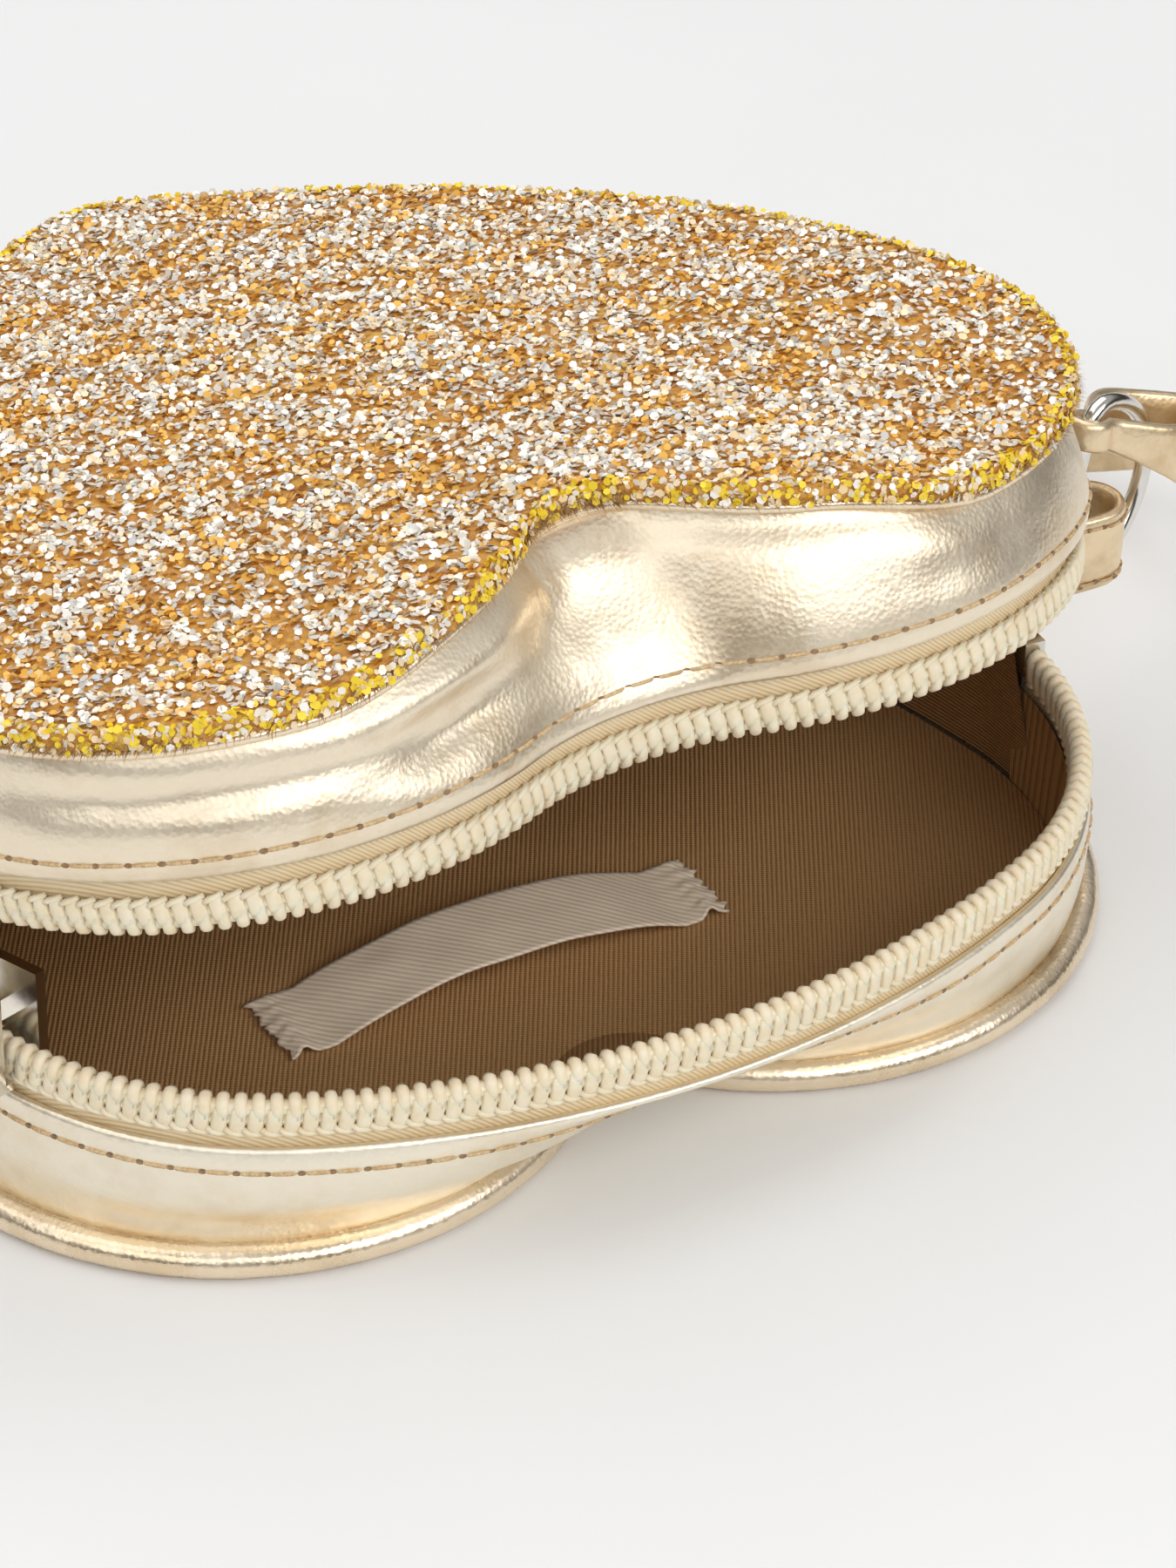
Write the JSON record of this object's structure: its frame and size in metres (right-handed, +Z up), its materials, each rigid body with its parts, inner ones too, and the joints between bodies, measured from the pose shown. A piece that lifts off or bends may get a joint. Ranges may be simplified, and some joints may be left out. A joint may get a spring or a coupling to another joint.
{
  "type": "heart shaped purse",
  "caption": "Heart shaped zip purse lying open on its back, with a glitter front panel, metallic leatherette sides, a coil zip, side rings and a long shoulder strap.",
  "frame": {"origin": "on the outer face of the back panel, on the middle plane, level with the centres of the lobes", "axes": "+Z up through the front panel, +Y from the lobes towards the tip, +X to the right seen from the lobes"},
  "size_m": [0.2217, 0.1562, 0.0662],
  "materials": {
    "gold_leather": "pale gold metallic leatherette with a fine grain and a soft gloss",
    "board": "plain stiffener sheet, hidden between leather and lining",
    "lining": "tan brown twill with fine ribs",
    "glitter": "coarse silver, champagne and amber glitter on a backing",
    "zip_tape": "woven tan gold tape",
    "zip_coil": "ivory nylon coil, satin",
    "label": "off-white satin ribbon with cut ends",
    "metal": "bright plated metal",
    "strap": "pale gold metallic leatherette, cut edges"
  },
  "bodies": {
    "back_half": {"back_panel": "gold_leather", "back_board": "board", "back_lining": "lining", "piping": "gold_leather", "lower_gusset": "gold_leather", "lower_gusset_lining": "lining", "bottom_gusset": "gold_leather", "bottom_gusset_lining": "lining", "lower_zip_tape": "zip_tape", "lower_zip_chain": "zip_coil", "lower_zip_stops": "metal", "label": "label", "right_tab": "gold_leather", "left_tab": "gold_leather", "strap_right_run": "strap", "strap_coil": "strap", "strap_left_run": "strap"},
    "front_half": {"front_panel": "glitter", "front_board": "board", "front_lining": "lining", "front_welt": "gold_leather", "upper_gusset": "gold_leather", "upper_gusset_lining": "lining", "upper_zip_tape": "zip_tape", "upper_zip_chain": "zip_coil", "upper_zip_stops": "metal"},
    "slider": {"zip_slider": "metal"},
    "pull": {"zip_pull": "metal"},
    "right_ring_set": {"right_ring": "metal", "right_strap_end": "strap"},
    "left_ring_set": {"left_ring": "metal", "left_strap_end": "strap"}
  },
  "joints": [
    {"name": "lid_hinge", "type": "hinge", "parent": "back_half", "child": "front_half", "pos_m": [-0.01761, 0.05421, 0.0221], "axis": [-0.9511, -0.309, 0], "range_deg": [-11.5, 18], "deforming": ["bottom_gusset", "bottom_gusset_lining"]},
    {"name": "slider_travel", "type": "hinge", "parent": "back_half", "child": "slider", "pos_m": [-0.0255, 0, 0.0228], "axis": [0, 0, 1], "range_deg": [0, 40]},
    {"name": "pull_swing", "type": "hinge", "parent": "slider", "child": "pull", "pos_m": [-0.06466, -0.01197, 0.0228], "axis": [0, 0, 1], "range_deg": [-40, 75]},
    {"name": "right_ring_swing", "type": "hinge", "parent": "back_half", "child": "right_ring_set", "pos_m": [0.07027, 0.0039, 0.03425], "axis": [0.2301, 0.0748, 0.9703], "range_deg": [-35, 35], "deforming": ["right_strap_end"]},
    {"name": "left_ring_swing", "type": "hinge", "parent": "back_half", "child": "left_ring_set", "pos_m": [-0.07027, 0.0039, 0.03065], "axis": [-0.2301, 0.0748, 0.9703], "range_deg": [-35, 35], "deforming": ["left_strap_end"]}
  ]
}
